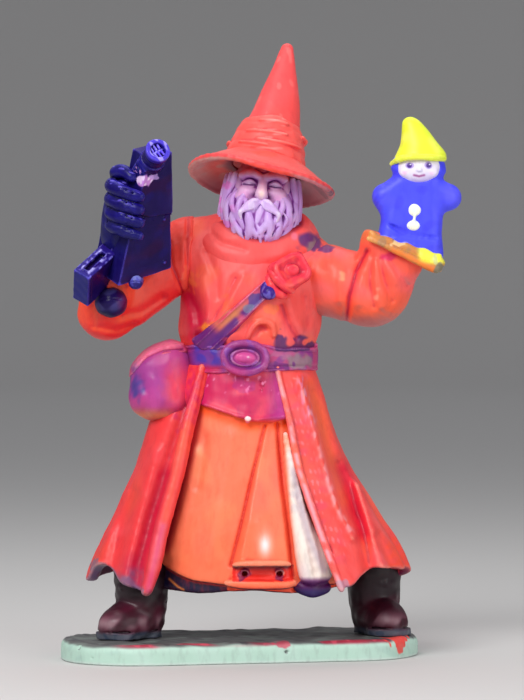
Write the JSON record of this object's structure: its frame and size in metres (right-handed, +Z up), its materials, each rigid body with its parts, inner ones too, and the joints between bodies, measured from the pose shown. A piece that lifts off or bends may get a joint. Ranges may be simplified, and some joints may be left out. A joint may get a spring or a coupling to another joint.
{
  "type": "painted miniature figure",
  "caption": "Hand-painted tabletop miniature of a bearded wizard in a pointed hat, holding up a pistol and a glove puppet, glued to a slab base.",
  "frame": {"origin": "centre of the flat underside of the slab base", "axes": "+Z up through the hat; the figure faces -Y; +X is on the figure's left-hand side, where the puppet is"},
  "size_m": [0.0279, 0.0171, 0.0432],
  "materials": {
    "base_paint": "satin",
    "boot_paint": "satin",
    "robe_paint": "satin",
    "coat_paint": "satin",
    "apron_paint": "satin",
    "belt_paint": "satin",
    "strap_paint": "satin",
    "pouch_paint": "satin",
    "beard_paint": "satin",
    "skin_paint": "satin",
    "hat_paint": "satin",
    "gun_paint": "gloss",
    "glove_paint": "gloss",
    "puppet_blue": "satin",
    "puppet_yellow": "satin",
    "puppet_white": "satin",
    "lining_paint": "satin",
    "pin_wire": "drawn wire"
  },
  "bodies": {
    "root": {"base_slab": "base_paint", "boot_right": "boot_paint", "boot_left": "boot_paint", "boot_pins": "pin_wire", "under_robe": "robe_paint", "underskirt_pleat": "lining_paint", "waist_apron": "apron_paint", "coat_panel_left": "coat_paint", "coat_panel_right": "coat_paint", "coat_panel_back": "coat_paint", "neck_pin": "pin_wire", "shoulder_pins": "pin_wire", "wrist_pins": "pin_wire", "tunic_torso": "coat_paint", "cowl": "coat_paint", "head": "skin_paint", "beard": "beard_paint", "moustache": "beard_paint", "hat_brim": "hat_paint", "hat_crown": "hat_paint", "hat_band": "hat_paint", "belt": "belt_paint", "buckle_frame": "belt_paint", "buckle_boss": "belt_paint", "shoulder_strap": "strap_paint", "strap_badge": "coat_paint", "badge_clasp": "coat_paint", "strap_bead": "gun_paint", "pouch_body": "pouch_paint", "pouch_flap": "pouch_paint", "gun_barrel": "gun_paint", "muzzle_grille": "gun_paint", "gun_slide": "gun_paint", "gun_body": "gun_paint", "gun_block": "gun_paint", "gun_magazine": "gun_paint", "gun_end_ball": "gun_paint", "gun_knob": "gun_paint", "gun_fist": "glove_paint", "right_sleeve": "coat_paint", "left_sleeve": "coat_paint", "puppet_body": "puppet_blue", "puppet_head": "puppet_white", "puppet_cap": "puppet_yellow", "puppet_buttons": "puppet_white", "puppet_hem": "puppet_yellow"}
  },
  "joints": []
}
